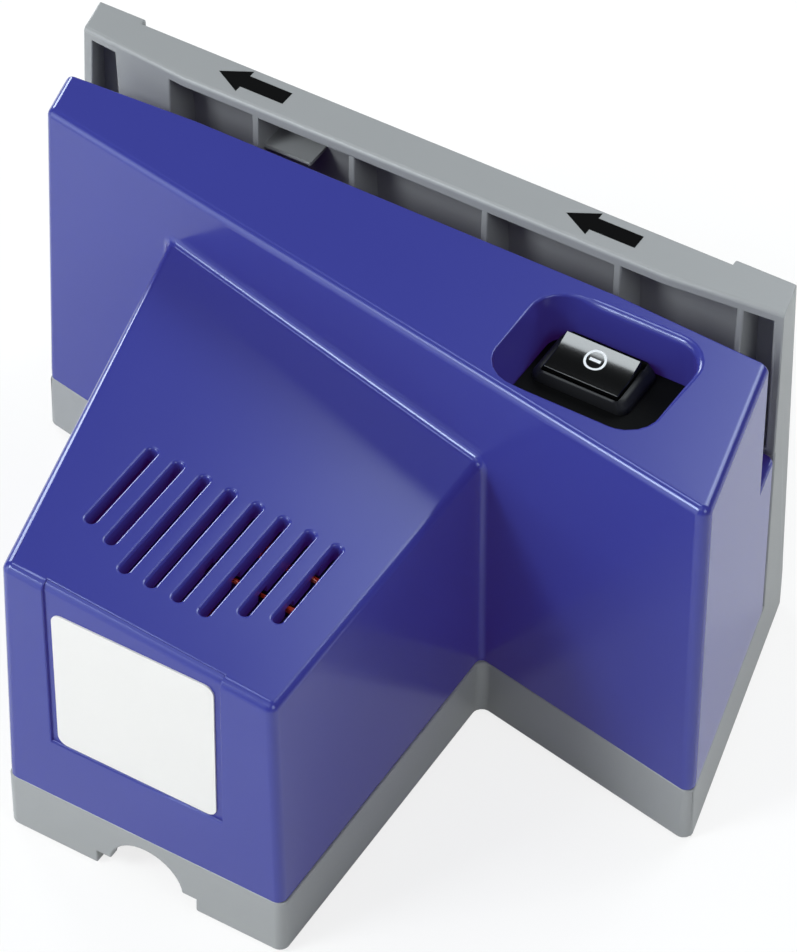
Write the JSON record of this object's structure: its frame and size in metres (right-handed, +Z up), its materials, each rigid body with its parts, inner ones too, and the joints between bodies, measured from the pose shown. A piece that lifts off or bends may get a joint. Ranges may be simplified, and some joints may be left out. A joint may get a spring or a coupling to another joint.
{
  "type": "electric scraper sharpener",
  "caption": "Bench-top electric sharpener for plastic scrapers: blue motor housing with vents and a rocker switch, grey base and fence, and a slot over a motor-driven cutter.",
  "frame": {"origin": "on the table, below the middle of the scraper slot, at the middle of the rear foot strip", "axes": "+X to the right along the fence, +Y to the back, +Z up"},
  "size_m": [0.2173, 0.1597, 0.1147],
  "materials": {
    "blue_plastic": "moulded, glossy with a fine grain",
    "grey_plastic": "moulded, satin",
    "label_film": "printed film",
    "black_rubber": "matt",
    "switch_plastic": "satin",
    "rocker_plastic": "polished",
    "brass": "plain",
    "zinc_steel": "zinc plated",
    "tool_steel": "ground",
    "magnet": "sintered",
    "copper": "enamelled wire",
    "carbon": "pressed carbon",
    "motor_plastic": "moulded",
    "bronze": "sintered, oiled",
    "red_lead": "wire insulation",
    "black_lead": "wire insulation"
  },
  "bodies": {
    "body": {"upper_housing": "blue_plastic", "base_fence": "grey_plastic", "rating_label": "label_film", "switch_seal": "black_rubber", "switch_body": "switch_plastic", "switch_terminals": "brass", "inlet_body": "switch_plastic", "inlet_pin": "brass", "inlet_nut": "zinc_steel", "inlet_tags": "brass", "motor_bracket": "zinc_steel", "motor_can": "zinc_steel", "motor_end_cap": "motor_plastic", "motor_magnets": "magnet", "motor_brushes": "carbon", "motor_terminals": "brass", "front_bush": "bronze", "rear_bush": "bronze", "housing_screws": "zinc_steel", "bracket_screws": "zinc_steel", "motor_screws": "zinc_steel", "rubber_feet": "black_rubber", "supply_lead": "red_lead", "switch_lead": "red_lead", "return_lead": "black_lead"},
    "rocker": {"switch_rocker": "rocker_plastic"},
    "rotor": {"motor_shaft": "tool_steel", "armature_core": "zinc_steel", "armature_winding": "copper", "commutator": "copper", "cutter_hub": "zinc_steel", "cutter": "tool_steel", "hub_screw": "zinc_steel", "cutter_nut": "zinc_steel"}
  },
  "joints": [
    {"name": "rocker_tilt", "type": "hinge", "parent": "body", "child": "rocker", "pos_m": [0.05995, -0.01755, 0.095], "axis": [1, 0, 0], "range_deg": [-22, 0]},
    {"name": "cutter_spin", "type": "hinge", "parent": "body", "child": "rotor", "pos_m": [0.0104, 0, 0.05715], "axis": [0, 1, 0], "continuous": true}
  ]
}
